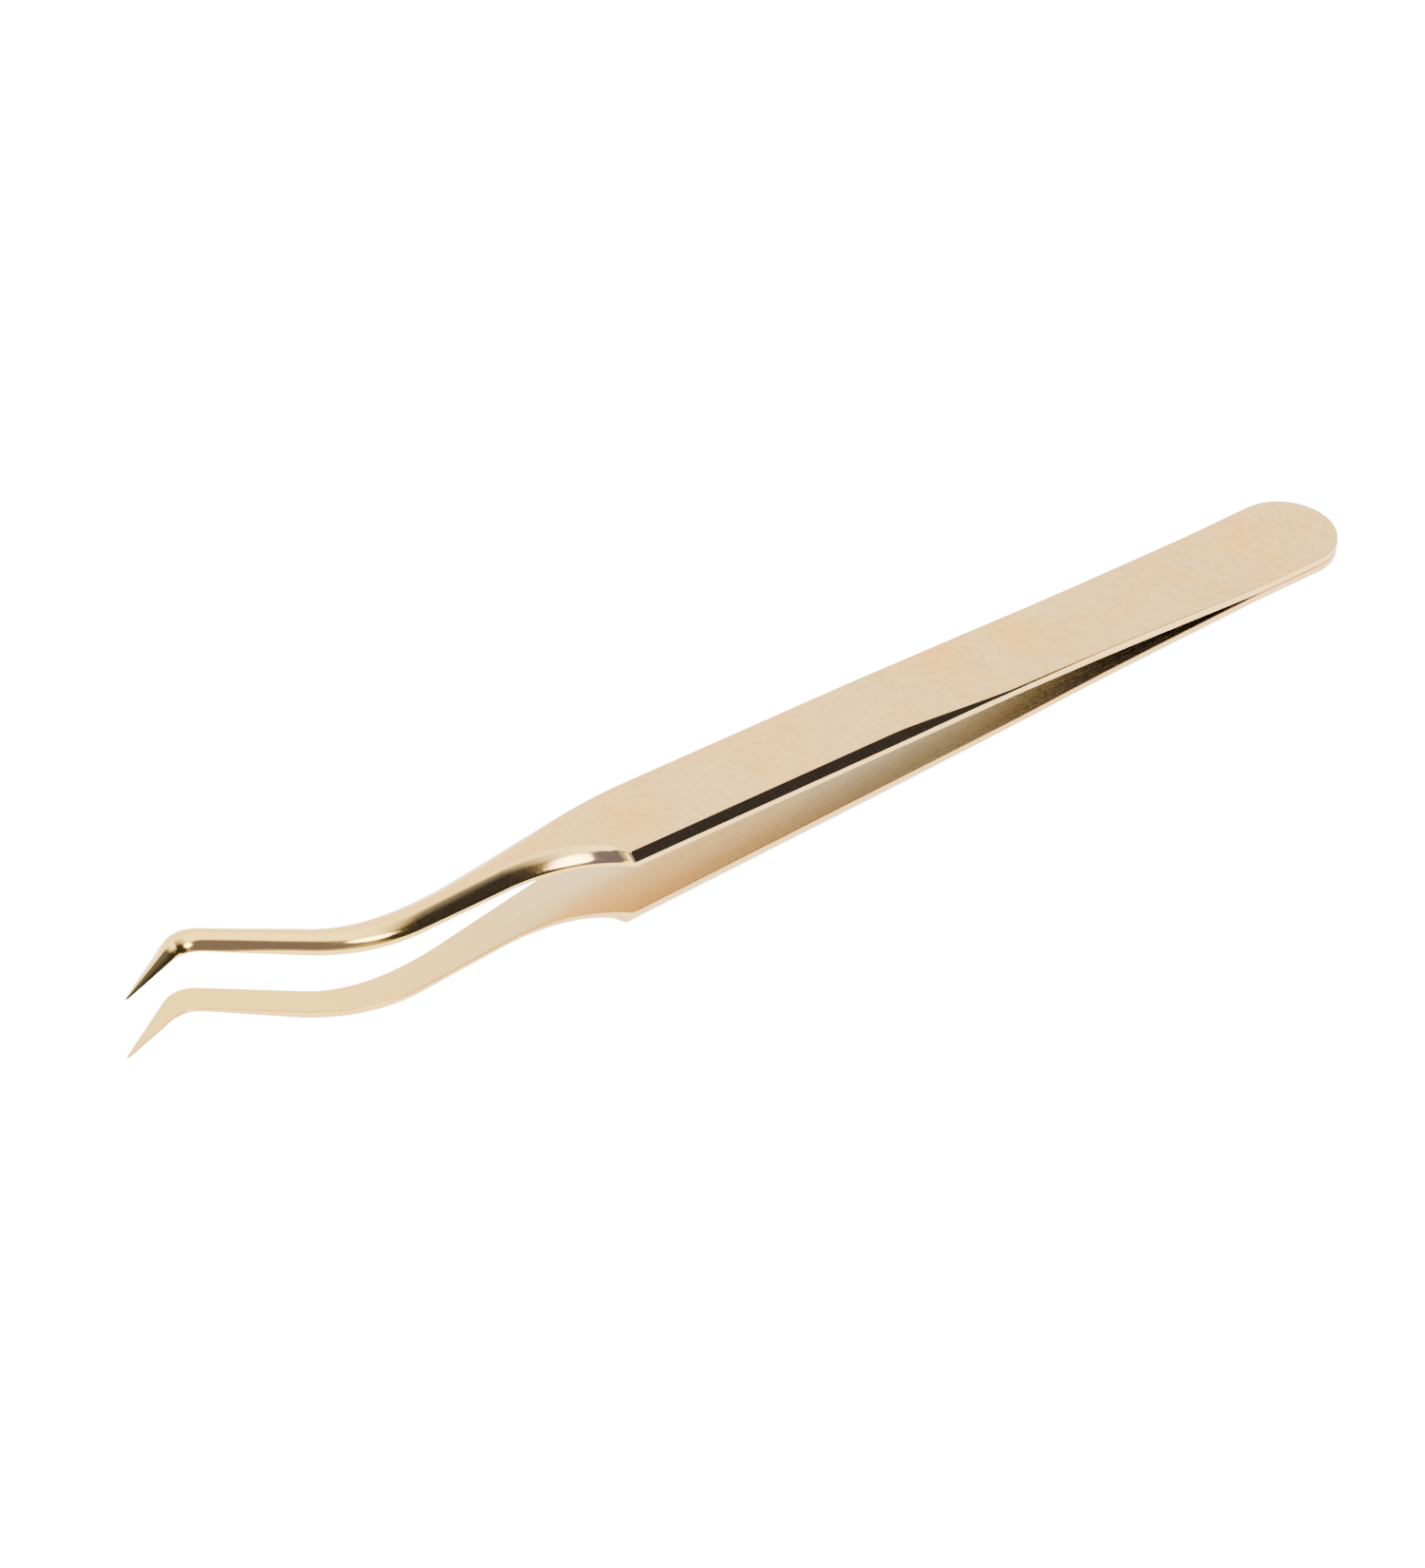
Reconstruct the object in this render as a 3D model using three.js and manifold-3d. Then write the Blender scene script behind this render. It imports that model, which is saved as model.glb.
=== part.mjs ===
// Stamp tongs with side-bent needle points, in millimetres.
// Two gold-plated spring-steel arms, mirror images of each other, are spot-welded together at the heel.
// From heel to point each arm has a heel pad, a thin spring leaf, a ramp up to a thick bevelled grip,
// a notch, an S-shaped neck that swings to one side, and a half-round point bent back from it.
//
// The arms are drawn in the tongs' own frame: +X from heel to points, +Y towards the notched edge,
// +Z across the arms, with the joint between them at z = 0. The finished tongs are then tipped a little
// so that the lower arm's grip lies flat on z = 0, with the origin under the middle of their box.
import * as THREE from "three";
import { mergeVertices } from "three/addons/utils/BufferGeometryUtils.js";
import Module from "manifold-3d";

const wasm = await Module();
wasm.setup();
const { PI, atan, cos, sin } = Math;
const degrees = THREE.MathUtils.degToRad;

// Stretches along the arm, from the heel end.
const WELDED = 11.5; // the arms lie face to face
const LEAF = 27.5; // thin and springy
const RAMP = 11.5; // the thickness grows
const GRIP = 27.8; // full thickness, up to the notch
const FLEX_RUN = 13; // from the welded stretch to the middle of the leaf's flexing
const FLEX_AT = WELDED + FLEX_RUN;
const RAMP_START = WELDED + LEAF;
const RAMP_END = RAMP_START + RAMP;
const NOTCH = RAMP_END + GRIP;

// Widths and thicknesses of one arm.
const HEEL_RADIUS = 4.6; // round heel end, and half the heel's width
const HALF_WIDTH = 4.2; // of the leaf and the grip
const HEEL_TAPER = 27.5; // the heel's extra width dies away along this much of the edge
const LEAF_THICKNESS = 0.7;
const GRIP_THICKNESS = 1.3;
const BEVEL_WIDTH = 0.54; // of the bevels along the grip's and the neck's outer edges

// How far the arm climbs away from the joint, in mm per mm along it.
const LEAF_SLOPE = 0.047;
const GRIP_SLOPE = 0.025;
const NECK_SLOPE = 0.006;
const LEAF_SET_INSET = 1; // the leaf's slope ends this far before the ramp
const GRIP_SET_RUN = 19.6; // the grip's slope runs on this far past the notch
const LEAF_SET = RAMP_START - LEAF_SET_INSET;
const NECK_SET = NOTCH + GRIP_SET_RUN;

// Neck, seen from above. Places along it count from the notch.
const NECK_NEAR = 0.9; // the notched edge's y in the neck
const NECK_FAR = -3.6; // the far edge's y at the neck's root
const NECK_RISE = 0.14; // slope of the far edge from the root
const NEAR_RISE = 0.035; // slope of the notched edge from the end of the hollow
const ROOT_RUN = 4; // the far edge turns into the neck from this far before the notch to this far past it
const NOTCH_RUN = 9.8; // length of the notch's hollow curve
const NOTCH_FALL = 0.36; // share of that run in which the first, steep part would reach the neck
const FAR_TURN = 8.3; // lengths of edge over which the neck turns into its swing
const NEAR_TURN = 5.2;
const SWING_AT = 27; // where the neck has turned to its straight, slanted stretch
const SWING_Y = -3.06; // the neck's middle there
const SWING_ANGLE = degrees(39.5);
const SWING_WIDTH = 2.5;
const SWING_LENGTH = 9.4; // slanted stretch, up to the middle of the knuckle
const KNUCKLE_RADIUS = 1.25;
const KNUCKLE_THICKNESS = 0.95;

// Point: a half cone from the knuckle, flattened to the knuckle's thickness.
const POINT_ANGLE = degrees(24.8);
const POINT_LENGTH = 8.1;
const POINT_BASE_RADIUS = 1.05;
const POINT_TIP_RADIUS = 0.12;

// Joint between the arms.
const SEAM = 0.04; // hairline between the two heels
const NUGGET_RADIUS = 1.5;
const NUGGET_DEPTH = 0.3; // how deep a nugget reaches into each arm
const NUGGET_CLEARANCE = 0.02;
const NUGGET_INSET = 2.7; // from the end of the welded stretch back to the front nugget's middle
const NUGGET_PITCH = 4.6; // from there back to the rear nugget's middle
const FRONT_NUGGET = WELDED - NUGGET_INSET;
const NUGGETS = { weld_nugget_rear: FRONT_NUGGET - NUGGET_PITCH, weld_nugget_front: FRONT_NUGGET };

// Each arm bends as a spring. A hairline slit across the leaf stands for the place where it flexes.
const FLEX_SLIT = 0.1;

const CURVE_STEPS = 16;
const CONE_SIDES = 24;
const NUGGET_SIDES = 32;
const FAR_AWAY = 200; // beyond every piece
const BEHIND = -1; // just behind the heel

function solidOf(geometry) {
  geometry.deleteAttribute("normal");
  geometry.deleteAttribute("uv");
  const merged = mergeVertices(geometry, 1e-5);
  return new wasm.Manifold(
    new wasm.Mesh({
      numProp: 3,
      vertProperties: new Float32Array(merged.attributes.position.array),
      triVerts: new Uint32Array(merged.index.array),
    }),
  );
}

function geometryOf(solid) {
  const { vertProperties, triVerts } = solid.getMesh();
  const geometry = new THREE.BufferGeometry();
  geometry.setAttribute("position", new THREE.BufferAttribute(vertProperties, 3));
  geometry.setIndex(new THREE.BufferAttribute(triVerts, 1));
  return geometry;
}

// Everything between two planes across X, on the arm's own side of the joint.
function slab(from, to) {
  const box = new THREE.BoxGeometry(to - from, FAR_AWAY, FAR_AWAY);
  return solidOf(box.translate((from + to) / 2, 0, FAR_AWAY / 2));
}

// A point on the slanted stretch of the neck: so far along it, and so far to its notched side.
function onSwing(along, aside) {
  const x = NOTCH + SWING_AT + along * cos(SWING_ANGLE) + aside * sin(SWING_ANGLE);
  const y = SWING_Y - along * sin(SWING_ANGLE) + aside * cos(SWING_ANGLE);
  return new THREE.Vector2(x, y);
}

const knuckle = onSwing(SWING_LENGTH, 0);

// Where a line along the neck's edge, from (x, y) at a slope, meets the slanted edge at that side.
function shoulder(x, y, slope, aside) {
  const swing = onSwing(0, aside);
  const fall = -Math.tan(SWING_ANGLE);
  const meet = (swing.y - y + slope * x - fall * swing.x) / (slope - fall);
  return new THREE.Vector2(meet, y + slope * (meet - x));
}

// The arm seen from above, without its point.
function outline() {
  const taperEnd = HEEL_RADIUS + HEEL_TAPER;
  const taperPull = HEEL_TAPER / 3;
  const root = NOTCH + ROOT_RUN;
  const nearFlat = NOTCH + NOTCH_RUN;
  const farShoulder = shoulder(root, NECK_FAR, NECK_RISE, -SWING_WIDTH / 2);
  const nearShoulder = shoulder(nearFlat, NECK_NEAR, NEAR_RISE, SWING_WIDTH / 2);
  const farStart = farShoulder.x - FAR_TURN;
  const nearStart = nearShoulder.x - NEAR_TURN;
  const farSwing = onSwing(0, -SWING_WIDTH / 2);
  const nearSwing = onSwing(0, SWING_WIDTH / 2);
  const shape = new THREE.Shape();
  shape.moveTo(HEEL_RADIUS, HEEL_RADIUS);
  shape.absarc(HEEL_RADIUS, 0, HEEL_RADIUS, PI / 2, 1.5 * PI, false);
  shape.bezierCurveTo(
    HEEL_RADIUS + taperPull,
    -HEEL_RADIUS,
    taperEnd - taperPull,
    -HALF_WIDTH,
    taperEnd,
    -HALF_WIDTH,
  );
  shape.lineTo(NOTCH - ROOT_RUN, -HALF_WIDTH);
  shape.quadraticCurveTo(NOTCH, -HALF_WIDTH, root, NECK_FAR);
  shape.lineTo(farStart, NECK_FAR + NECK_RISE * (farStart - root));
  shape.quadraticCurveTo(farShoulder.x, farShoulder.y, farSwing.x, farSwing.y);
  const facing = PI / 2 - SWING_ANGLE;
  shape.absarc(knuckle.x, knuckle.y, KNUCKLE_RADIUS, facing - PI, facing, false);
  shape.lineTo(nearSwing.x, nearSwing.y);
  shape.quadraticCurveTo(
    nearShoulder.x,
    nearShoulder.y,
    nearStart,
    NECK_NEAR + NEAR_RISE * (nearStart - nearFlat),
  );
  shape.lineTo(nearFlat, NECK_NEAR);
  shape.quadraticCurveTo(NOTCH + NOTCH_FALL * NOTCH_RUN, NECK_NEAR, NOTCH, HALF_WIDTH);
  shape.lineTo(taperEnd, HALF_WIDTH);
  shape.bezierCurveTo(
    taperEnd - taperPull,
    HALF_WIDTH,
    HEEL_RADIUS + taperPull,
    HEEL_RADIUS,
    HEEL_RADIUS,
    HEEL_RADIUS,
  );
  return shape;
}

// The arm seen from the side, before it is set: the leaf, the ramp, the grip and the neck's last thinning.
function sideProfile() {
  const shape = new THREE.Shape();
  shape.moveTo(BEHIND, 0);
  shape.lineTo(knuckle.x + FAR_AWAY, 0);
  shape.lineTo(knuckle.x + FAR_AWAY, KNUCKLE_THICKNESS);
  shape.lineTo(knuckle.x, KNUCKLE_THICKNESS);
  shape.lineTo(NOTCH + SWING_AT, GRIP_THICKNESS);
  shape.lineTo(RAMP_END, GRIP_THICKNESS);
  shape.lineTo(RAMP_START, LEAF_THICKNESS);
  shape.lineTo(BEHIND, LEAF_THICKNESS);
  return shape;
}

function point() {
  const cone = new THREE.CylinderGeometry(POINT_TIP_RADIUS, POINT_BASE_RADIUS, POINT_LENGTH, CONE_SIDES);
  cone.translate(0, POINT_LENGTH / 2, 0);
  cone.scale(1, 1, KNUCKLE_THICKNESS / POINT_BASE_RADIUS);
  cone.rotateZ(POINT_ANGLE - PI / 2);
  cone.translate(knuckle.x, knuckle.y, 0);
  return solidOf(cone);
}

// One arm as ground from flat stock: its inner face is z = 0.
function flatArm() {
  const bevelHeight = GRIP_THICKNESS - LEAF_THICKNESS;
  const plate = new THREE.ExtrudeGeometry(outline(), {
    depth: LEAF_THICKNESS,
    bevelThickness: bevelHeight,
    bevelSize: BEVEL_WIDTH,
    bevelOffset: -BEVEL_WIDTH,
    bevelSegments: 1,
    curveSegments: CURVE_STEPS,
  });
  const side = new THREE.ExtrudeGeometry(sideProfile(), { depth: FAR_AWAY, bevelEnabled: false });
  side.translate(0, 0, -FAR_AWAY / 2).rotateX(PI / 2);
  const blank = solidOf(plate).intersect(solidOf(side));
  return blank.add(point()).intersect(slab(BEHIND, FAR_AWAY));
}

// A triangle's parts on either side of the plane x = at, each as a list of corners.
function halves(corners, at) {
  const low = [];
  const high = [];
  corners.forEach((corner, i) => {
    const next = corners[(i + 1) % corners.length];
    if (corner.x <= at) low.push(corner);
    if (corner.x >= at) high.push(corner);
    if ((corner.x - at) * (next.x - at) < 0) {
      const [from, to] = corner.x < next.x ? [corner, next] : [next, corner];
      const crossing = from.clone().lerp(to, (at - from.x) / (to.x - from.x)).setX(at);
      low.push(crossing);
      high.push(crossing);
    }
  });
  return [low, high];
}

// The same surface, with every triangle split where it crosses the plane x = at.
function creased(triangles, at) {
  const split = [];
  for (const triangle of triangles) {
    for (const corners of halves(triangle, at)) {
      for (let i = 2; i < corners.length; i += 1) split.push([corners[0], corners[i - 1], corners[i]]);
    }
  }
  return split;
}

function trianglesOf(geometry) {
  const { array } = geometry.toNonIndexed().attributes.position;
  const triangles = [];
  for (let i = 0; i < array.length; i += 9) {
    triangles.push([0, 3, 6].map((corner) => new THREE.Vector3().fromArray(array, i + corner)));
  }
  return triangles;
}

// The arm after its set: from each bend on, it climbs away from the joint at that bend's slope.
const BENDS = [
  { from: WELDED, slope: LEAF_SLOPE },
  { from: LEAF_SET, slope: GRIP_SLOPE },
  { from: NECK_SET, slope: NECK_SLOPE },
];

function lift(x) {
  const climbs = BENDS.map(({ from, slope }, i) => {
    const to = BENDS[i + 1]?.from ?? FAR_AWAY;
    return slope * THREE.MathUtils.clamp(x - from, 0, to - from);
  });
  return climbs.reduce((sum, climb) => sum + climb, SEAM / 2);
}

function setArm() {
  let triangles = trianglesOf(geometryOf(flatArm()));
  for (const { from } of BENDS) triangles = creased(triangles, from);
  const corners = triangles.flat().map(({ x, y, z }) => new THREE.Vector3(x, y, z + lift(x)));
  return solidOf(new THREE.BufferGeometry().setFromPoints(corners));
}

function nuggetGeometry(x, clearance) {
  const height = SEAM + 2 * (NUGGET_DEPTH + clearance);
  const radius = NUGGET_RADIUS + clearance;
  const disc = new THREE.CylinderGeometry(radius, radius, height, NUGGET_SIDES);
  return disc.rotateX(PI / 2).translate(x, 0, 0);
}

const goldPlate = {
  color: 0xdcc49c,
  metalness: 1,
  roughness: 0.28,
};
const bareSteel = {
  color: 0x9a958c,
  metalness: 1,
  roughness: 0.5,
};

function mesh(name, geometry, material) {
  const flat = geometry.index ? geometry.toNonIndexed() : geometry;
  flat.computeVertexNormals();
  const made = new THREE.Mesh(flat, new THREE.MeshStandardMaterial(material));
  made.name = name;
  return made;
}

const arm = setArm();
let heel = arm.intersect(slab(BEHIND, FLEX_AT - FLEX_SLIT / 2));
for (const x of Object.values(NUGGETS)) {
  heel = heel.subtract(solidOf(nuggetGeometry(x, NUGGET_CLEARANCE)));
}
const blade = arm.intersect(slab(FLEX_AT + FLEX_SLIT / 2, FAR_AWAY));

const tongs = new THREE.Group();
for (const [side, mirror] of [["upper", 1], ["lower", -1]]) {
  for (const [piece, solid] of [["heel", heel], ["blade", blade]]) {
    const made = mesh(`${side}_${piece}`, geometryOf(solid), goldPlate);
    made.scale.z = mirror;
    tongs.add(made);
  }
}
for (const [name, x] of Object.entries(NUGGETS)) {
  tongs.add(mesh(name, nuggetGeometry(x, 0), bareSteel));
}

// Lay the lower arm's grip flat, and put the origin under the middle of the box.
tongs.rotation.y = -atan(GRIP_SLOPE);
tongs.updateMatrixWorld(true);
const box = new THREE.Box3().setFromObject(tongs, true);
const middle = box.getCenter(new THREE.Vector3());
tongs.position.set(-middle.x, -middle.y, -box.min.z);

export default tongs;
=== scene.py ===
"""Looks of the stamp tongs: two gold-plated spring-steel arms, spot-welded at the heel.

Each arm is one fine mesh from heel to point, which bends across its flexing leaf.
The arms are drawn in millimetres in the tongs' own frame: +X from heel to points, +Y towards the notched
edge, +Z across the arms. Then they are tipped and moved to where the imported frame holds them.
"""

import math

import bmesh
import bpy
import numpy as np
from mathutils import Matrix, Vector


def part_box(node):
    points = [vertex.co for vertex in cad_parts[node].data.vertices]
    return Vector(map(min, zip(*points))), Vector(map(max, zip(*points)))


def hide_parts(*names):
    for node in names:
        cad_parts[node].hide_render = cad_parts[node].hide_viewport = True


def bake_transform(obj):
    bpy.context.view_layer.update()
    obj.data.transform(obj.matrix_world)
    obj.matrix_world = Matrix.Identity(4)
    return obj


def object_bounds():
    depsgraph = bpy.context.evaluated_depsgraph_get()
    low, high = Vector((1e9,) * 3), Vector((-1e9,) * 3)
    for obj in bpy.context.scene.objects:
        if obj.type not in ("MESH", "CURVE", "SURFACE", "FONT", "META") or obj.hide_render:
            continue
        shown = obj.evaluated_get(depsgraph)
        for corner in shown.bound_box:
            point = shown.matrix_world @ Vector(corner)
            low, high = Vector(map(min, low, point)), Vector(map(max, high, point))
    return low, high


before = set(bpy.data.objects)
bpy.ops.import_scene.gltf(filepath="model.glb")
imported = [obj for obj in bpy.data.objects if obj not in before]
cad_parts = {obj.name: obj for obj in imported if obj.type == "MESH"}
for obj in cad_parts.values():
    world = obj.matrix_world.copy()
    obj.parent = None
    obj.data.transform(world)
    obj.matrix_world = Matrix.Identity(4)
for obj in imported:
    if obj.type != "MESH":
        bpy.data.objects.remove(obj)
cad_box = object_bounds()

MM = 0.001
TINY = 1e-9  # keeps a division by a length from being one by zero

# Stretches along an arm, from the heel end, as in the CAD part.
WELDED = 11.5
LEAF = 27.5
RAMP = 11.5
GRIP = 27.8
RAMP_START = WELDED + LEAF
RAMP_END = RAMP_START + RAMP
NOTCH = RAMP_END + GRIP

# Widths and thicknesses.
HEEL_RADIUS = 4.6
HALF_WIDTH = 4.2
HEEL_TAPER = 27.5
LEAF_THICKNESS = 0.7
GRIP_THICKNESS = 1.3
BEVEL_WIDTH = 0.54

# Climb away from the joint between the arms.
LEAF_SLOPE = 0.047
GRIP_SLOPE = 0.025
NECK_SLOPE = 0.006
LEAF_SET_INSET = 1
GRIP_SET_RUN = 19.6
LEAF_SET = RAMP_START - LEAF_SET_INSET
NECK_SET = NOTCH + GRIP_SET_RUN
SEAM = 0.04

# Neck and point, seen from above.
NECK_NEAR = 0.9
NECK_FAR = -3.6
NECK_RISE = 0.14
NEAR_RISE = 0.035
ROOT_RUN = 4
NOTCH_RUN = 9.8
NOTCH_FALL = 0.36
FAR_TURN = 8.3
NEAR_TURN = 5.2
SWING_AT = 27
SWING_Y = -3.06
SWING_ANGLE = math.radians(39.5)
SWING_WIDTH = 2.5
SWING_LENGTH = 9.4
KNUCKLE_THICKNESS = 0.95
POINT_ANGLE = math.radians(24.8)
POINT_LENGTH = 8.1
POINT_BASE_RADIUS = 1.05
POINT_TIP_RADIUS = 0.12

# Fine shape that only the visible mesh has.
INNER_CORNER = 0.06  # radius along the inner faces' edges
RAMP_BLUR = 2  # how far the ramp's ends fade out past it
EDGE_ROUND = 0.05  # length over which a sharp outer edge is rounded
HEEL_BREAK = 0.04  # width of the broken edge round the heel
LEAF_BREAK = 0.1  # the same along the leaf
BEND_SOFTNESS = 1.5  # half the length over which one slope turns into the next
ARMPIT_REACH = 1.6  # how far the inside corner between the neck and the point is rounded
KNUCKLE_REACH = 2.0  # the same on the outside
LIP_RUN = 0.9  # length over which the near bevel rolls over into the neck's rounding
LIP_LEAN = 0.3  # how far the lip's outer end leans towards the points
LIP_FADE = (1.5, 2)  # the lean fades in over this run before the notch, and out over this run past the lip
FAR_RUN = (6, 14)  # the far bevel rolls over from this far before the notch to this far past it
GRIP_SIDE = 0.48  # height of the grip's upright sides, below the bevels
NECK_BEVEL = 1.05  # width of the neck's rounded edges
NECK_SIDE = 0.4  # height of the neck's upright sides
NECK_EDGE_ROUND = 0.5  # length over which their edges are rounded
ROUNDED_FROM = 0.3  # the neck's section turns round between these shares of the way to the slanted stretch
ROUNDED_BY = 0.9
POLISHED_FROM = 0.5  # from this share of that way on, the outer face grows polished
KNUCKLE_LEAN = math.radians(28)  # the rounded sides lean in by this much at the knuckle and the point
LEAN_BY = 1  # the lean is full this far before the knuckle
RIDGE_RUN = (0.4, 2.6)  # the point's roof-like ridge takes over from the round knuckle along this stretch
RIDGE_SHARE = 0.8  # how far the point's section goes from round to roof-like
RIDGE_SIDE = 0.25  # share of the point's height below its slanted facets
RIDGE_BEVEL = 0.95  # share of its half width that they take

# Lines across the arm, from which its mesh is made: how many there are in each stretch.
HEEL_LINES = 46
BODY_LINES = 140
ROOT_LINES = 21
LIP_LINES = 21
LIP_STRETCH = 2  # length of the finely cut stretch past the notch
NECK_LINES = 70
SHOULDER_LINES = 70
SWING_LINES = 36
KNUCKLE_LINES = 40
POINT_LINES = 60
TIP_LINES = 9
CURVE_STEPS = 40  # pieces of each curve of the plan


# --- Plan of one arm -------------------------------------------------------------------------------


def swing(along, aside):
    """A point on the slanted stretch of the neck."""
    c, s = math.cos(SWING_ANGLE), math.sin(SWING_ANGLE)
    return np.array(
        [NOTCH + SWING_AT + along * c + aside * s, SWING_Y - along * s + aside * c]
    )


KNUCKLE = swing(SWING_LENGTH, 0)
SWING_DIRECTION = np.array([math.cos(SWING_ANGLE), -math.sin(SWING_ANGLE)])
POINT_DIRECTION = np.array([math.cos(POINT_ANGLE), math.sin(POINT_ANGLE)])
POINT_SIDE = np.array([-math.sin(POINT_ANGLE), math.cos(POINT_ANGLE)])
POINT_TAPER = (POINT_BASE_RADIUS - POINT_TIP_RADIUS) / POINT_LENGTH


def meeting(p, along, q, direction):
    """Where two lines cross."""
    t = np.linalg.solve(np.column_stack([along, -direction]), q - p)[0]
    return p + t * along


def curve(start, control, end, steps=CURVE_STEPS):
    """A quadratic curve as points, without its last one."""
    t = np.linspace(0, 1, steps, endpoint=False)[:, None]
    return (1 - t) ** 2 * start + 2 * t * (1 - t) * control + t**2 * end


def neck_edges():
    """The neck's two edges from the notch to the knuckle, as dense point lists with their key places."""
    root = NOTCH + ROOT_RUN
    near_flat = NOTCH + NOTCH_RUN
    half = SWING_WIDTH / 2
    far_neck = np.array([root, NECK_FAR])
    near_neck = np.array([near_flat, NECK_NEAR])
    far_line = np.array([1, NECK_RISE])
    near_line = np.array([1, NEAR_RISE])
    far_shoulder = meeting(far_neck, far_line, swing(0, -half), SWING_DIRECTION)
    near_shoulder = meeting(near_neck, near_line, swing(0, half), SWING_DIRECTION)
    far_start = far_shoulder - FAR_TURN * far_line
    near_start = near_shoulder - NEAR_TURN * near_line
    notch = np.array([NOTCH, HALF_WIDTH])
    near = np.vstack(
        [
            curve(notch, np.array([NOTCH + NOTCH_FALL * NOTCH_RUN, NECK_NEAR]), near_neck),
            curve(near_neck, (near_neck + near_start) / 2, near_start),
            curve(near_start, near_shoulder, swing(0, half)),
            [swing(0, half)],
        ]
    )
    far = np.vstack(
        [
            curve(
                np.array([NOTCH - ROOT_RUN, -HALF_WIDTH]),
                np.array([NOTCH, -HALF_WIDTH]),
                far_neck,
            ),
            curve(far_neck, (far_neck + far_start) / 2, far_start),
            curve(far_start, far_shoulder, swing(0, -half)),
            [swing(0, -half)],
        ]
    )
    return near, far, far_start[0]


def resampled(points, count):
    """count + 1 points evenly along a line of points."""
    steps = np.linalg.norm(np.diff(points, axis=0), axis=1)
    run = np.concatenate([[0], np.cumsum(steps)])
    at = np.linspace(0, run[-1], count + 1)
    return np.column_stack([np.interp(at, run, points[:, i]) for i in range(2)])


def at_x(points, x):
    """The place on a line of points at x."""
    return np.array([x, np.interp(x, points[:, 0], points[:, 1])])


def from_x(points, x):
    """The part of a line of points past x."""
    return np.vstack([at_x(points, x), points[points[:, 0] > x]])


def half_width(x):
    """Half the width between the heel and the notch."""
    t = np.clip((x - HEEL_RADIUS) / HEEL_TAPER, 0, 1)
    return HEEL_RADIUS + (HALF_WIDTH - HEEL_RADIUS) * t * t * (3 - 2 * t)


def plan_stations():
    """Lines across the arm from heel to tip, each as (near edge, middle, far edge)."""
    near_neck, far_neck, turn_at = neck_edges()
    centre = np.array([HEEL_RADIUS, 0.0])
    stations = []
    for a in np.radians(np.linspace(90, 0, HEEL_LINES)):
        out = HEEL_RADIUS * np.array([-math.sin(a), math.cos(a)])
        stations.append((centre + out, centre, centre + out * [1, -1]))
    root = NOTCH - ROOT_RUN
    for x in np.linspace(HEEL_RADIUS, root, BODY_LINES)[1:]:
        w = half_width(x)
        stations.append((np.array([x, w]), np.array([x, 0.0]), np.array([x, -w])))
    across = np.concatenate(
        [
            np.linspace(root, NOTCH, ROOT_LINES)[1:],
            np.linspace(NOTCH, NOTCH + LIP_STRETCH, LIP_LINES)[1:],
            np.linspace(NOTCH + LIP_STRETCH, turn_at, NECK_LINES)[1:],
        ]
    )
    for x in across:
        near = at_x(near_neck, x) if x > NOTCH else np.array([x, HALF_WIDTH])
        far = at_x(far_neck, x)
        stations.append((near, (near + far) / 2, far))
    nears = resampled(from_x(near_neck, turn_at), SHOULDER_LINES)[1:]
    fars = resampled(from_x(far_neck, turn_at), SHOULDER_LINES)[1:]
    stations += [(n, (n + f) / 2, f) for n, f in zip(nears, fars)]
    return stations + knuckle_stations()


def knuckle_stations():
    """The slanted stretch, the knuckle and the point."""
    half = SWING_WIDTH / 2
    edge_direction = POINT_DIRECTION - POINT_TAPER * POINT_SIDE
    base = KNUCKLE + POINT_BASE_RADIUS * POINT_SIDE
    armpit = meeting(swing(0, half), SWING_DIRECTION, base, edge_direction)
    inside_start = armpit - ARMPIT_REACH * SWING_DIRECTION
    inside_end = armpit + ARMPIT_REACH * edge_direction / np.linalg.norm(edge_direction)
    straight = (inside_start - swing(0, half)) @ SWING_DIRECTION
    stations = []
    for along in np.linspace(0, straight, SWING_LINES)[1:]:
        near = swing(along, half)
        far = swing(along, -half)
        stations.append((near, (near + far) / 2, far))
    # Round the knuckle: the near edge follows the inside corner, the far edge the outer arc.
    bend = np.vstack([curve(inside_start, armpit, inside_end), [inside_end]])
    inner = resampled(bend, KNUCKLE_LINES)
    lead = swing(straight, -half)
    past = (inside_end - KNUCKLE) @ POINT_DIRECTION
    out_edge = point_edge(past, -1)
    far_direction = POINT_DIRECTION + POINT_TAPER * POINT_SIDE
    corner = meeting(lead, SWING_DIRECTION, out_edge, far_direction)
    outside_start = corner - KNUCKLE_REACH * SWING_DIRECTION
    outside_end = corner + KNUCKLE_REACH * far_direction / np.linalg.norm(far_direction)
    arc = curve(outside_start, corner, outside_end)
    outer = resampled(np.vstack([[lead], arc, [outside_end], [out_edge]]), KNUCKLE_LINES)
    stations += [(n, (n + f) / 2, f) for n, f in zip(inner[1:], outer[1:])]
    tip = POINT_LENGTH - POINT_TIP_RADIUS
    for along in np.linspace(past, tip, POINT_LINES)[1:]:
        near = point_edge(along, 1)
        far = point_edge(along, -1)
        stations.append((near, (near + far) / 2, far))
    radius = POINT_BASE_RADIUS - POINT_TAPER * tip
    for a in np.radians(np.linspace(0, 90, TIP_LINES))[1:]:
        centre = KNUCKLE + POINT_DIRECTION * (tip + POINT_TIP_RADIUS * math.sin(a))
        out = POINT_SIDE * radius * math.cos(a)
        stations.append((centre + out, centre, centre - out))
    return stations


def point_edge(along, side):
    """A place on one edge of the point."""
    radius = POINT_BASE_RADIUS - POINT_TAPER * along
    return KNUCKLE + POINT_DIRECTION * along + side * radius * POINT_SIDE


# --- Section of one arm ----------------------------------------------------------------------------


def smooth(x, low, high):
    """0 below low, 1 above high, and an even S in between."""
    t = np.clip((x - low) / (high - low), 0, 1)
    return t * t * (3 - 2 * t)


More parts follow.
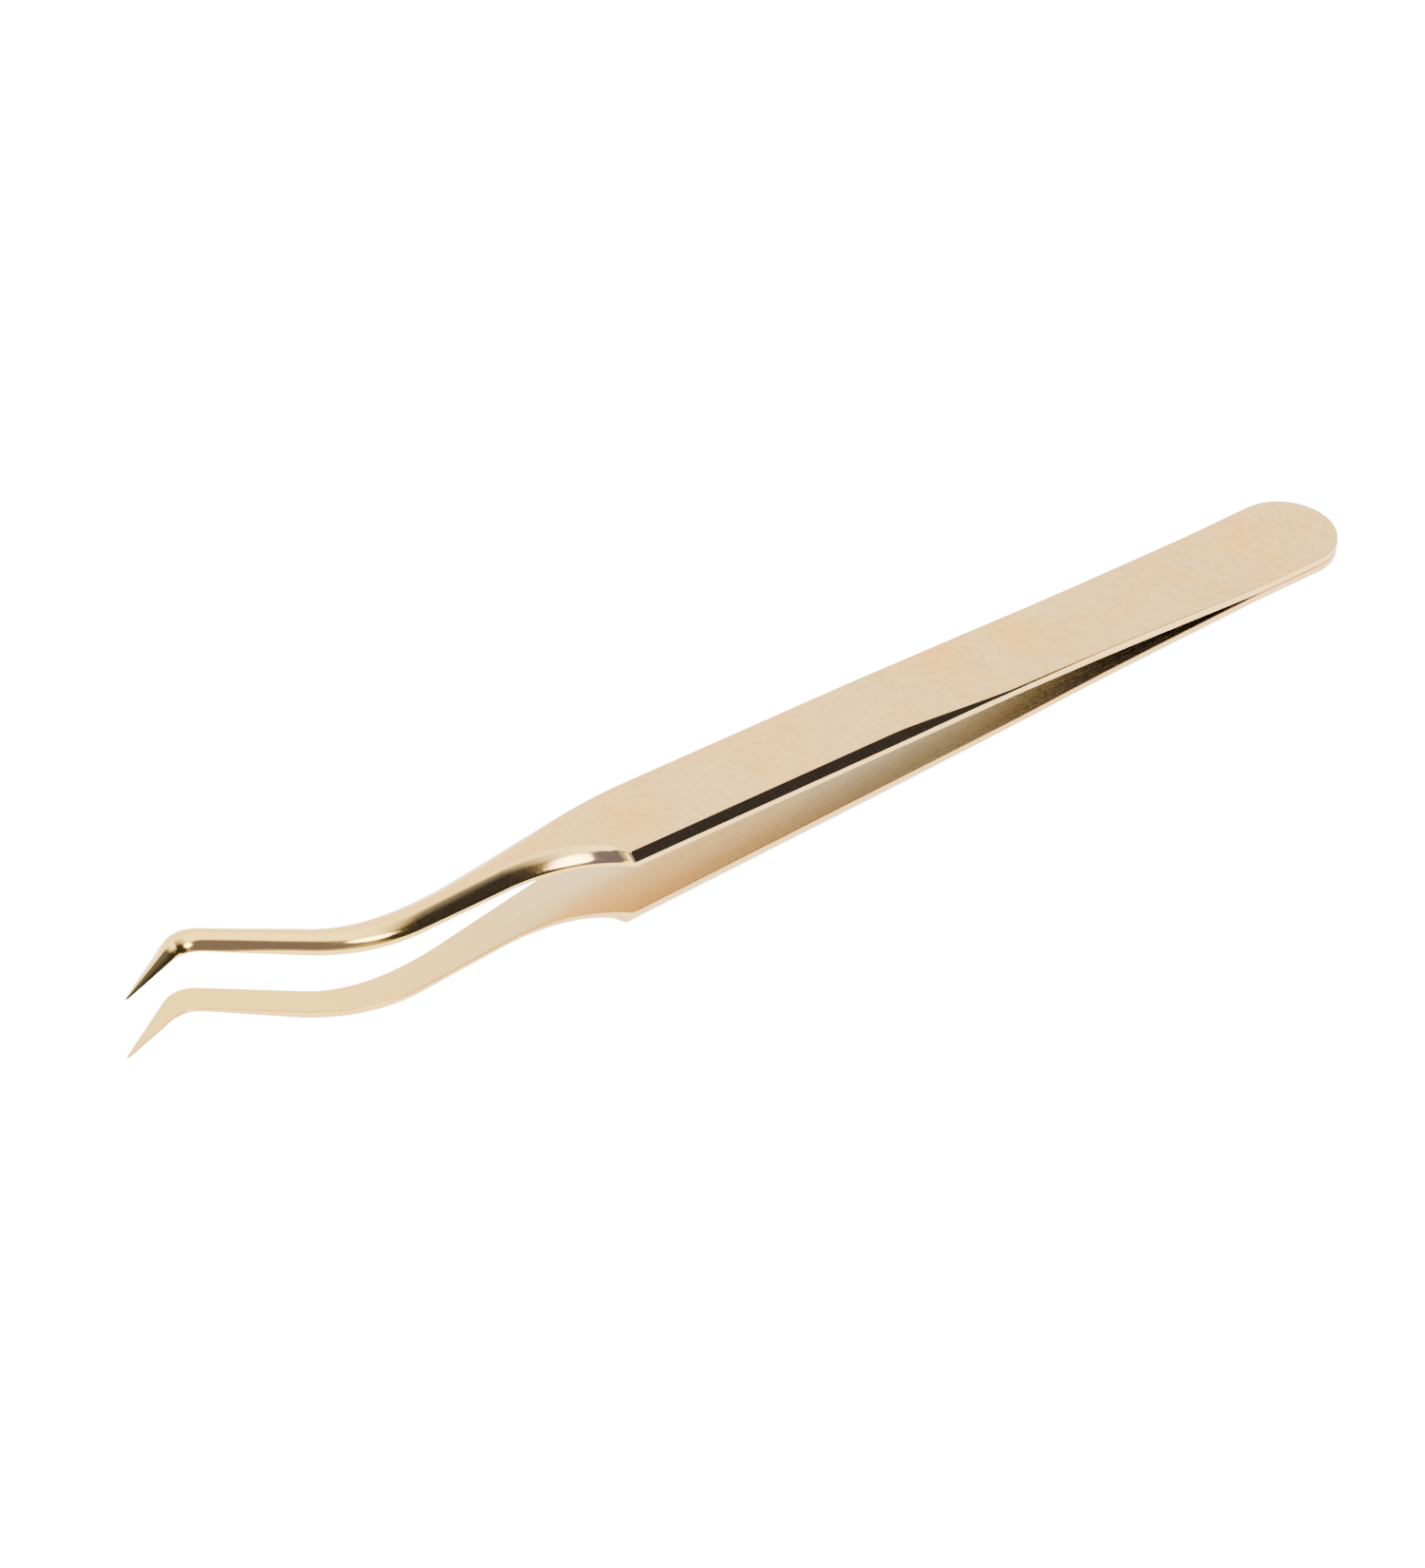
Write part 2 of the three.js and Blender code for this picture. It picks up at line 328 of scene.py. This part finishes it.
def lift(x):
    """Height of the inner face over the joint's plane, with each bend a little rounded."""
    height = SEAM / 2
    slope = 0.0
    for at, to in ((WELDED, LEAF_SLOPE), (LEAF_SET, GRIP_SLOPE), (NECK_SET, NECK_SLOPE)):
        past = x - at
        s = BEND_SOFTNESS
        soft = np.where(past > s, past, np.where(past < -s, 0.0, (past + s) ** 2 / (4 * s)))
        height = height + (to - slope) * soft
        slope = to
    return height


def section_sizes(middle, width, is_near):
    """Thickness, side height, bevel width, edge rounding, share of roundness, lean and polish."""
    x = middle[0]
    swing_start = NOTCH + SWING_AT
    soft_ramp = smooth(x, RAMP_START - RAMP_BLUR, RAMP_END + RAMP_BLUR)
    ramp = 0.5 * soft_ramp + 0.5 * np.clip((x - RAMP_START) / RAMP, 0, 1)
    top = LEAF_THICKNESS + (GRIP_THICKNESS - LEAF_THICKNESS) * ramp
    broken = HEEL_BREAK + (LEAF_BREAK - HEEL_BREAK) * smooth(x, WELDED, RAMP_START)
    side = LEAF_THICKNESS - broken
    side = side + (GRIP_SIDE - side) * ramp
    bevel = broken + (BEVEL_WIDTH - broken) * ramp
    neck = smooth(x, NOTCH - FAR_RUN[0], NOTCH + FAR_RUN[1])
    if is_near:
        neck = smooth(x, NOTCH, NOTCH + LIP_RUN)
    side = side + (NECK_SIDE - side) * neck
    bevel = bevel + (NECK_BEVEL - bevel) * neck
    edge_round = min(EDGE_ROUND, broken + BEVEL_WIDTH * ramp)
    edge_round = edge_round + (NECK_EDGE_ROUND - edge_round) * neck
    thin = np.clip((x - swing_start) / (KNUCKLE[0] - swing_start), 0, 1)
    top = top + (KNUCKLE_THICKNESS - GRIP_THICKNESS) * thin
    rounding = smooth(x, NOTCH + ROUNDED_FROM * SWING_AT, NOTCH + ROUNDED_BY * SWING_AT)
    lean = KNUCKLE_LEAN * smooth(x, swing_start, KNUCKLE[0] - LEAN_BY)
    past_knuckle = (middle - KNUCKLE) @ POINT_DIRECTION
    if past_knuckle > 0:
        top = min(top, width * KNUCKLE_THICKNESS / POINT_BASE_RADIUS)
        ridge = smooth(past_knuckle, *RIDGE_RUN)
        side = side + (RIDGE_SIDE * top - side) * ridge
        bevel = bevel + (RIDGE_BEVEL * width - bevel) * ridge
        rounding = rounding * (1 - RIDGE_SHARE * ridge)
    polish = smooth(x, NOTCH + POLISHED_FROM * SWING_AT, swing_start)
    return top, side, bevel, edge_round, rounding, lean, polish


def lip_lean(x, height):
    """How far the rows near the lip are pushed towards the points, most at the outer face."""
    lip_end = NOTCH + LIP_RUN
    here = smooth(x, NOTCH - LIP_FADE[0], NOTCH) * (1 - smooth(x, lip_end, lip_end + LIP_FADE[1]))
    return LIP_LEAN * here * height / GRIP_THICKNESS


EDGE_STEPS = 5  # of the curve round each softened edge
CORNER_SHARE = 0.45  # the most of a side that a softened corner takes


def softened(corners, reaches):
    """A line through corners, each inner one turned over its reach, without the last corner."""
    line = [np.array(corners[0], float)]
    for before, corner, after, reach in zip(corners, corners[1:], corners[2:], reaches):
        before, corner, after = (np.array(p, float) for p in (before, corner, after))
        back = before - corner
        ahead = after - corner
        start = corner + back * min(reach / max(np.linalg.norm(back), TINY), CORNER_SHARE)
        end = corner + ahead * min(reach / max(np.linalg.norm(ahead), TINY), CORNER_SHARE)
        middle_of_side = (line[-1] + start) / 2
        line += [middle_of_side, *curve(start, corner, end, EDGE_STEPS), end]
    return line


# Rows from the inner face's middle to the outer face's.
INNER_SHARES = (1.0, 0.7, 0.4, 0.15)
CORNER_ANGLES = (0, 30, 60)
POLISHED_ROWS = 1 + 2 * (EDGE_STEPS + 2)  # side, bevel and their rounded edges
TOP_ROWS = 7
TOP_SPACING = 1.4  # above 1, the rows stand closer together near the edge
POLISH_EDGE = 0.02  # width over which polish gives way to satin
CORNER_LIMIT = 0.3  # the most of the width or the height that the inner corner takes
SIDE_LIMIT = 0.7  # the most of the height that the side takes


def half_section(width, top, side, bevel, edge_round, rounding, lean):
    """Rows over the inner face and its corner, and rows over the rim and the outer face.

    Each place is its distance in from the edge and its height over the inner face.
    """
    corner = min(INNER_CORNER, CORNER_LIMIT * width, CORNER_LIMIT * top)
    side = min(side, SIDE_LIMIT * top)
    bevel = min(bevel, RIDGE_BEVEL * width)
    rows = [np.array([share * (width - 2 * corner) + 2 * corner, 0.0]) for share in INNER_SHARES]
    rows += [np.array([2 * corner, 0.0])]
    for a in np.radians(CORNER_ANGLES):
        rows.append(corner * np.array([1 - math.sin(a), 1 - math.cos(a)]))
    start = (0.0, corner)
    line = softened([start, (0.0, side), (bevel, top), (width, top)], [edge_round, edge_round])
    last = line[-1]
    shares = np.linspace(0, 1, TOP_ROWS)[1:] ** TOP_SPACING
    shares = [min(POLISH_EDGE / width, shares[0] / 2), *shares]
    line += [last + (np.array([width, top]) - last) * s for s in shares]
    line = np.array(line)
    steps = np.linalg.norm(np.diff(line, axis=0), axis=1)
    run = np.concatenate([[0], np.cumsum(steps)]) / max(steps.sum(), TINY)
    angle = lean + run * (math.pi / 2 - lean)
    inward = 1 - np.cos(angle) / math.cos(lean)
    upward = (np.sin(angle) - math.sin(lean)) / (1 - math.sin(lean))
    round_line = np.column_stack([width * inward, corner + (top - corner) * upward])
    return rows, line + rounding * (round_line - line)


LEAST_WIDTH = 1e-6  # half width of the last line, at the very tip
MERGE = 1e-7  # points this near are one, in metres
NO_LENGTH = 1e-8  # edges this short are dropped, in metres


def arm_mesh(name, mirror, place):
    """One arm as a closed mesh, with its polish stored on its points."""
    points, polishes = [], []
    stations = plan_stations()
    for near, middle, far in stations:
        width = (np.linalg.norm(near - middle) + np.linalg.norm(far - middle)) / 2
        width = max(width, LEAST_WIDTH)
        for edge, is_near in ((near, True), (far, False)):
            *sizes_here, polish = section_sizes(middle, width, is_near)
            inner_rows, outer_rows = half_section(width, *sizes_here)
            rows = np.vstack([inner_rows, outer_rows])
            shine = np.full(len(rows), polish)
            first = len(inner_rows)
            shine[first : first + POLISHED_ROWS] = 1
            share = np.clip(rows[:, 0] / width, 0, 1)[:, None]
            flat = edge + (middle - edge) * share
            if is_near:
                flat[:, 0] += lip_lean(flat[:, 0], rows[:, 1]) * (1 - share[:, 0])
            points.append(np.column_stack([flat, rows[:, 1] + lift(flat[:, 0])]))
            polishes.append(shine)
    points = np.array(points)
    count = points.shape[1]
    inner_count = len(inner_rows) - len(CORNER_ANGLES)
    mesh = bpy.data.meshes.new(name)
    bm = bmesh.new()
    shine_layer = bm.verts.layers.float.new("polish")
    verts = []
    for line, shines in zip(points, polishes):
        column = []
        for (x, y, z), shine in zip(line, shines):
            v = bm.verts.new(place @ Vector((x, y, z * mirror)))
            v[shine_layer] = shine
            column.append(v)
        verts.append(column)
    for k in range(len(stations) - 1):
        for half in (0, 1):
            a = verts[2 * k + half]
            b = verts[2 * k + 2 + half]
            for j in range(count - 1):
                face = bm.faces.new((a[j], a[j + 1], b[j + 1], b[j]))
                face.smooth = True
                face.material_index = 1 if j < inner_count else 0
    bmesh.ops.remove_doubles(bm, verts=bm.verts, dist=MERGE)
    bmesh.ops.dissolve_degenerate(bm, edges=bm.edges, dist=NO_LENGTH)
    bmesh.ops.recalc_face_normals(bm, faces=bm.faces)
    if bm.calc_volume(signed=True) < 0:
        bmesh.ops.reverse_faces(bm, faces=bm.faces)
    bm.to_mesh(mesh)
    bm.free()
    arm = bpy.data.objects.new(name, mesh)
    bpy.context.scene.collection.objects.link(arm)
    return arm


def tongs_place():
    """From the tongs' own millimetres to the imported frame's metres, found from the upper heel's box."""
    low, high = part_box("upper_heel")
    tilt = math.atan(GRIP_SLOPE)
    x = low.x / MM + (SEAM / 2 + LEAF_THICKNESS) * math.sin(tilt)
    y = (low.y + high.y) / 2 / MM
    z = low.z / MM - SEAM / 2 * math.cos(tilt)
    return (
        Matrix.Scale(MM, 4)
        @ Matrix.Translation((x, y, z))
        @ Matrix.Rotation(-tilt, 4, "Y")
    )


# --- Materials -------------------------------------------------------------------------------------


NOISE_SPAN = (0.3, 0.7)  # between these, nearly all of a noise's values lie


def new_material(name):
    """An empty material and its node tree."""
    material = bpy.data.materials.new(name)
    material.use_nodes = True
    tree = material.node_tree
    tree.nodes.clear()
    return material, tree


def node(tree, kind, **inputs):
    """A new node with the given inputs set."""
    made = tree.nodes.new(kind)
    for key, value in inputs.items():
        made.inputs[key].default_value = value
    return made


def noise(tree, scale, stretch=(1, 1, 1), detail=4.0, shift=(0, 0, 0), roughness=0.55):
    """Noise over the object, with its scale in features per millimetre."""
    place = tree.nodes.new("ShaderNodeTexCoord")
    mapping = node(tree, "ShaderNodeMapping")
    mapping.inputs["Scale"].default_value = [s / MM for s in stretch]
    mapping.inputs["Location"].default_value = shift
    tree.links.new(place.outputs["Object"], mapping.inputs["Vector"])
    made = node(tree, "ShaderNodeTexNoise", Scale=scale, Detail=detail, Roughness=roughness)
    tree.links.new(mapping.outputs["Vector"], made.inputs["Vector"])
    return made.outputs["Fac"]


def ranged(tree, value, low, high, to_low, to_high):
    """A value taken from one range to another, and held at its ends."""
    made = node(tree, "ShaderNodeMapRange")
    made.inputs["From Min"].default_value = low
    made.inputs["From Max"].default_value = high
    made.inputs["To Min"].default_value = to_low
    made.inputs["To Max"].default_value = to_high
    tree.links.new(value, made.inputs["Value"])
    return made.outputs["Result"]


def mixed(tree, share, first, second, kind="RGBA"):
    """The first colour or value at share 0, and the second at 1."""
    made = tree.nodes.new("ShaderNodeMix")
    made.data_type = kind
    ending = {"RGBA": "Color", "FLOAT": "Float"}[kind]
    sockets = {s.identifier: s for s in list(made.inputs) + list(made.outputs)}
    tree.links.new(share, sockets["Factor_Float"])
    for name, value in ((f"A_{ending}", first), (f"B_{ending}", second)):
        if isinstance(value, bpy.types.NodeSocket):
            tree.links.new(value, sockets[name])
        else:
            sockets[name].default_value = value
    return sockets[f"Result_{ending}"]


def bumped(tree, height, strength, distance, below=None):
    """A bump of the given height in millimetres, over another one if there is one."""
    made = node(tree, "ShaderNodeBump", Strength=strength, Distance=distance * MM)
    tree.links.new(height, made.inputs["Height"])
    if below is not None:
        tree.links.new(below, made.inputs["Normal"])
    return made.outputs["Normal"]


def finished(tree, color, roughness, normal):
    """Joins a metal's colour, roughness and bump to its output."""
    shader = node(tree, "ShaderNodeBsdfPrincipled", Metallic=1.0)
    out = tree.nodes.new("ShaderNodeOutputMaterial")
    tree.links.new(color, shader.inputs["Base Color"])
    tree.links.new(roughness, shader.inputs["Roughness"])
    tree.links.new(normal, shader.inputs["Normal"])
    tree.links.new(shader.outputs["BSDF"], out.inputs["Surface"])


# Plate: pale and warm patches, dull specks, polished edges, the richer plate of the neck, the inner faces'
# own, and a greyer, duller tone deep between the arms that is painted shade of the narrow gap.
GOLD_PALE = (0.78, 0.50, 0.18, 1)
GOLD_WARM = (0.84, 0.44, 0.10, 1)
GOLD_DULL = (0.62, 0.38, 0.10, 1)
GOLD_POLISHED = (0.84, 0.53, 0.18, 1)
GOLD_NECK = (0.87, 0.54, 0.12, 1)
INNER_PALE = (0.70, 0.49, 0.19, 1)
INNER_WARM = (0.70, 0.45, 0.14, 1)
# painted shade: greyer, duller inner-face colours that stand in for the shade in the narrow gap between
# the arms
GAP_SHADE_PALE = (0.54, 0.48, 0.36, 1)
GAP_SHADE_WARM = (0.53, 0.45, 0.32, 1)
STEEL_PALE = (0.5, 0.47, 0.43, 1)
STEEL_DARK = (0.34, 0.31, 0.28, 1)


def along_arm(tree, place, start, end):
    """0 up to one place along the arm, 1 from another, even in between."""
    coordinates = tree.nodes.new("ShaderNodeTexCoord")
    axes = tree.nodes.new("ShaderNodeSeparateXYZ")
    tree.links.new(coordinates.outputs["Object"], axes.inputs["Vector"])
    low = (place @ Vector((start, 0, 0))).x
    high = (place @ Vector((end, 0, 0))).x
    return ranged(tree, axes.outputs["X"], low, high, 0, 1)


def outer_gold(place):
    """Satin outer faces, with polished bevels and edges, and a richer plate on the neck and the point."""
    material, tree = new_material("gold_outer")
    attribute = tree.nodes.new("ShaderNodeAttribute")
    attribute.attribute_name = "polish"
    polish = attribute.outputs["Fac"]
    blotches = noise(tree, 0.14, detail=3)
    grain = noise(tree, 3.0, stretch=(1, 0.4, 1), detail=5)
    marks = noise(tree, 1.3, stretch=(1.6, 0.25, 1), detail=4, shift=(7, 3, 0))
    warm = ranged(tree, blotches, 0.42, 0.66, 0, 1)
    satin = mixed(tree, warm, GOLD_PALE, GOLD_WARM)
    dull = ranged(tree, grain, 0.4, 0.75, 0, 0.6)
    satin = mixed(tree, dull, satin, GOLD_DULL)
    color = mixed(tree, polish, satin, GOLD_POLISHED)
    color = mixed(tree, along_arm(tree, place, NOTCH, NOTCH + SWING_AT), color, GOLD_NECK)
    satin_rough = ranged(tree, grain, *NOISE_SPAN, 0.26, 0.42)
    polished_rough = ranged(tree, grain, *NOISE_SPAN, 0.08, 0.14)
    roughness = mixed(tree, polish, satin_rough, polished_rough, "FLOAT")
    flattened = ranged(tree, grain, 0, 1, 0.42, 0.58)
    fine = bumped(tree, mixed(tree, polish, grain, flattened, "FLOAT"), 0.2, 0.012)
    normal = bumped(tree, marks, 0.12, 0.02, fine)
    finished(tree, color, roughness, normal)
    return material


def inner_gold(place):
    """Inner faces, brushed along the arm: painted shade (a greyer, duller tone) deep between the arms,
    rich plate at the points.
    """
    material, tree = new_material("gold_inner")
    streaks = noise(tree, 4.0, stretch=(0.02, 1, 1), detail=4)
    broad = noise(tree, 0.9, stretch=(0.04, 1, 1), detail=3, shift=(0, 4, 0))
    tint = ranged(tree, broad, 0.35, 0.65, 0, 1)
    full = mixed(tree, tint, INNER_PALE, INNER_WARM)
    # painted shade: up to the end of the ramp the inner faces take the greyer, duller gap colour, blending
    # into the full plate by the neck
    thin = mixed(tree, tint, GAP_SHADE_PALE, GAP_SHADE_WARM)
    neck_start = NOTCH + NOTCH_RUN
    color = mixed(tree, along_arm(tree, place, RAMP_END, neck_start), thin, full)
    color = mixed(tree, along_arm(tree, place, neck_start, NOTCH + SWING_AT), color, GOLD_NECK)
    roughness = ranged(tree, streaks, *NOISE_SPAN, 0.2, 0.3)
    normal = bumped(tree, streaks, 0.15, 0.006)
    finished(tree, color, roughness, normal)
    return material


def weld_steel():
    """The fused discs inside the heel."""
    material, tree = new_material("weld_steel")
    ripples = noise(tree, 3.0, detail=5)
    color = mixed(tree, ripples, STEEL_DARK, STEEL_PALE)
    roughness = ranged(tree, ripples, *NOISE_SPAN, 0.35, 0.6)
    normal = bumped(tree, ripples, 0.4, 0.03)
    finished(tree, color, roughness, normal)
    return material


# --- Stage: floor, studio light and camera ---------------------------------------------------------

# Studio light as soft patches round the sky: azimuth and elevation in degrees, half-angle of the patch,
# softness of its edge, brightness and tint. Azimuth 0 is +X, 90 is +Y.
WHITE = (1.0, 0.99, 0.97)
SHADE = (0.75, 0.88, 1.9)
DUSK = (0.8, 0.85, 2.1)
SKY = (*WHITE, 1)
PATCHES = (
    (230, 42, 62, 30, 3.3, WHITE),  # white wall behind the tongs
    (0, 90, 32, 20, 4.2, WHITE),  # overhead
    (164, 28, 36, 12, 0.3, SHADE),  # grey flag on the heel's side
    (128, 22, 30, 8, 0.06, SHADE),  # black flag beside it
    (52, 38, 31, 8, 0.36, DUSK),  # dark round the camera
    (98, 46, 9, 5, 20.0, WHITE),  # soft box over the black flag
)


def sky():
    """The studio light."""
    world = bpy.data.worlds.new("studio")
    world.use_nodes = True
    tree = world.node_tree
    tree.nodes.clear()
    place = tree.nodes.new("ShaderNodeTexCoord")
    light = SKY
    for azimuth, elevation, half_angle, softness, brightness, tint in PATCHES:
        a, e = math.radians(azimuth), math.radians(elevation)
        facing = (math.cos(a) * math.cos(e), math.sin(a) * math.cos(e), math.sin(e))
        towards = tree.nodes.new("ShaderNodeVectorMath")
        towards.operation = "DOT_PRODUCT"
        towards.inputs[1].default_value = facing
        tree.links.new(place.outputs["Generated"], towards.inputs[0])
        edge = math.cos(math.radians(half_angle + softness))
        core = math.cos(math.radians(max(half_angle - softness, 0)))
        share = node(tree, "ShaderNodeMapRange")
        share.interpolation_type = "SMOOTHSTEP"
        share.inputs["From Min"].default_value = edge
        share.inputs["From Max"].default_value = core
        tree.links.new(towards.outputs["Value"], share.inputs["Value"])
        shining = (*(brightness * t for t in tint), 1)
        light = mixed(tree, share.outputs["Result"], light, shining)
    background = node(tree, "ShaderNodeBackground", Strength=1.0)
    out = tree.nodes.new("ShaderNodeOutputWorld")
    tree.links.new(light, background.inputs["Color"])
    tree.links.new(background.outputs["Background"], out.inputs["Surface"])
    bpy.context.scene.world = world


FLOOR_SIZE = 24.0
FLOOR_PAINT = (0.9, 0.9, 0.9, 1)
FLOOR_WHITE = 16.0  # glow of the burnt-out white floor as the lens sees it
FLOOR_GLOW = 2.0  # and as the metal reflects it


def floor():
    """A plain white floor under the tongs."""
    mesh = bpy.data.meshes.new("floor")
    bm = bmesh.new()
    bmesh.ops.create_grid(bm, x_segments=1, y_segments=1, size=FLOOR_SIZE / 2)
    bm.to_mesh(mesh)
    bm.free()
    ground = bpy.data.objects.new("floor", mesh)
    bpy.context.scene.collection.objects.link(ground)
    ground.location.z = cad_box[0].z
    material, tree = new_material("floor")
    shader = node(tree, "ShaderNodeBsdfPrincipled", Roughness=0.8)
    shader.inputs["Base Color"].default_value = FLOOR_PAINT
    shader.inputs["Specular IOR Level"].default_value = 0.1
    shader.inputs["Emission Color"].default_value = (1, 1, 1, 1)
    path = tree.nodes.new("ShaderNodeLightPath")
    glow = ranged(tree, path.outputs["Is Camera Ray"], 0, 1, FLOOR_GLOW, FLOOR_WHITE)
    tree.links.new(glow, shader.inputs["Emission Strength"])
    out = tree.nodes.new("ShaderNodeOutputMaterial")
    tree.links.new(shader.outputs["BSDF"], out.inputs["Surface"])
    mesh.materials.append(material)


# The camera: angles, and its aim and distance in metres.
CAMERA_AZIMUTH = math.radians(140.17)
CAMERA_ELEVATION = math.radians(39.28)
CAMERA_ROLL = math.radians(-1.42)
CAMERA_DISTANCE = 0.4947
CAMERA_AIM = Vector((0.00563, 0.00102, 0.0041))
CAMERA_LENS = 141.8
CAMERA_SENSOR = 36
CAMERA_CLIP = (0.01, 100)


def camera():
    """The camera, at the photographer's place."""
    a, e = CAMERA_AZIMUTH, CAMERA_ELEVATION
    back = Vector((math.sin(a) * math.cos(e), -math.cos(a) * math.cos(e), math.sin(e)))
    right = Vector((math.cos(a), math.sin(a), 0))
    up = back.cross(right)
    turned_right = right * math.cos(CAMERA_ROLL) - up * math.sin(CAMERA_ROLL)
    turned_up = back.cross(turned_right)
    data = bpy.data.cameras.new("camera")
    data.lens = CAMERA_LENS
    data.sensor_width = CAMERA_SENSOR
    data.clip_start, data.clip_end = CAMERA_CLIP
    made = bpy.data.objects.new("camera", data)
    bpy.context.scene.collection.objects.link(made)
    axes = Matrix((turned_right, turned_up, back)).transposed().to_4x4()
    made.matrix_world = Matrix.Translation(CAMERA_AIM + back * CAMERA_DISTANCE) @ axes
    bpy.context.scene.camera = made


# --- The object ------------------------------------------------------------------------------------

camera()
sky()
floor()

place = tongs_place()
outer = outer_gold(place)
inner = inner_gold(place)
for side, mirror in (("upper", 1), ("lower", -1)):
    arm = arm_mesh(f"{side}_arm_strip", mirror, place)
    arm.data.materials.append(outer)
    arm.data.materials.append(inner)
    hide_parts(f"{side}_heel", f"{side}_blade")
    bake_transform(arm)

weld = weld_steel()
for name in ("weld_nugget_rear", "weld_nugget_front"):
    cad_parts[name].data.materials.clear()
    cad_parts[name].data.materials.append(weld)
